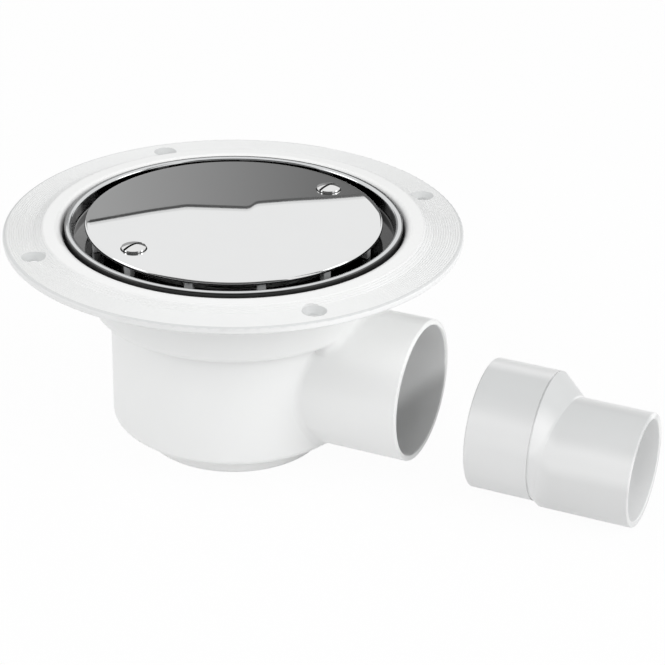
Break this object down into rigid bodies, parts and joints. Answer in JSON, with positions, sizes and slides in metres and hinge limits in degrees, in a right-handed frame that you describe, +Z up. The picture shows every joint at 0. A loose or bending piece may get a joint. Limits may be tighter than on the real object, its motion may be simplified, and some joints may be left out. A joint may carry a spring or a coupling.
{
  "type": "floor gully",
  "caption": "Round floor gully with a wide drilled flange, a screwed polished cover in a raised drain ring, a lift-out water trap, a side outlet spigot and a loose eccentric outlet adaptor.",
  "frame": {"origin": "centre of the flat underside of the gully's foot, on the floor it stands on", "axes": "+Z up along the gully's axis, +X out of the outlet spigot towards the loose adaptor"},
  "size_m": [0.2547, 0.175, 0.0933],
  "materials": {
    "body_white": "smooth moulded plastic, soft gloss",
    "adaptor_white": "smooth moulded plastic, soft gloss",
    "trap_white": "moulded plastic",
    "ring_chrome": "bright plated metal",
    "cover_polished": "mirror polished plate",
    "screw_bright": "bright plated metal",
    "seal_rubber": "moulded rubber"
  },
  "bodies": {
    "root": {"gully_body": "body_white", "ring_gasket": "seal_rubber", "inlet_ring": "ring_chrome", "cover_plate": "cover_polished", "cover_screws": "screw_bright", "trap_seal": "seal_rubber", "dip_tube": "trap_white", "trap_cup": "trap_white", "outlet_adaptor": "adaptor_white"}
  },
  "joints": []
}
